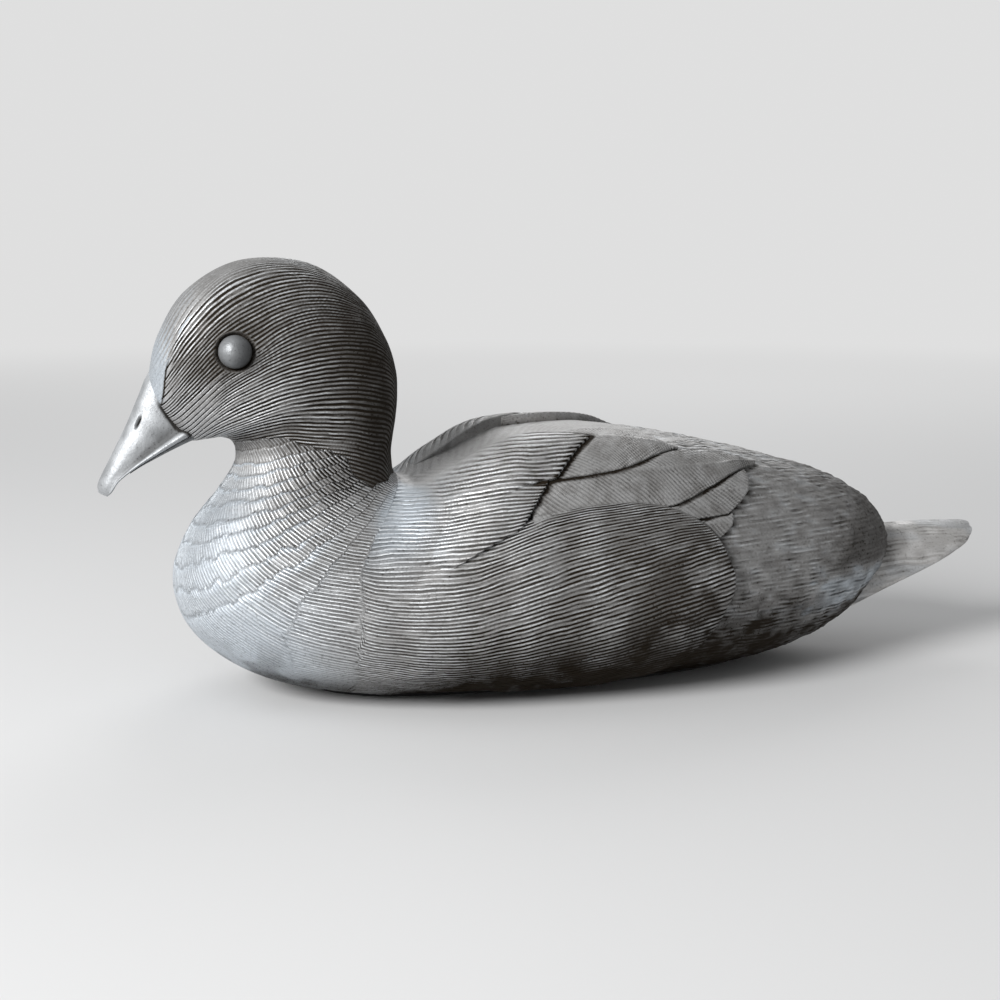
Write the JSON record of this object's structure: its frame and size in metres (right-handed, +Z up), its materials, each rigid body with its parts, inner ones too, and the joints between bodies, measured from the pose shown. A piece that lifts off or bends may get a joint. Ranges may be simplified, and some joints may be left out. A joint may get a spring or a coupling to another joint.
{
  "type": "duck figurine",
  "caption": "Cast pewter duck at rest with folded wings, carved feather relief, smooth bill and bead eyes, closed below by a base plate with a felt pad.",
  "frame": {"origin": "on the felt's underside, on the centre plane, below the middle of the back", "axes": "-X towards the bill, +X towards the tail, -Y towards the duck's left side, +Z up"},
  "size_m": [0.2851, 0.1122, 0.1298],
  "materials": {
    "carved_pewter": "satin cast pewter, dark patina in the carved grooves and bright rubbed ridges",
    "smooth_pewter": "smooth satin pewter, lightly rubbed",
    "plate_metal": "plain rolled sheet, dull",
    "felt": "black wool felt",
    "screw_brass": "satin turned brass"
  },
  "bodies": {
    "root": {"body_shell": "carved_pewter", "head_shell": "carved_pewter", "upper_bill": "smooth_pewter", "lower_bill": "smooth_pewter", "left_eye": "smooth_pewter", "left_wing": "carved_pewter", "right_eye": "smooth_pewter", "right_wing": "carved_pewter", "tail_fan": "carved_pewter", "base_plate": "plate_metal", "felt_pad": "felt", "base_screw_1": "screw_brass", "base_screw_2": "screw_brass", "base_screw_3": "screw_brass", "base_screw_4": "screw_brass"}
  },
  "joints": []
}
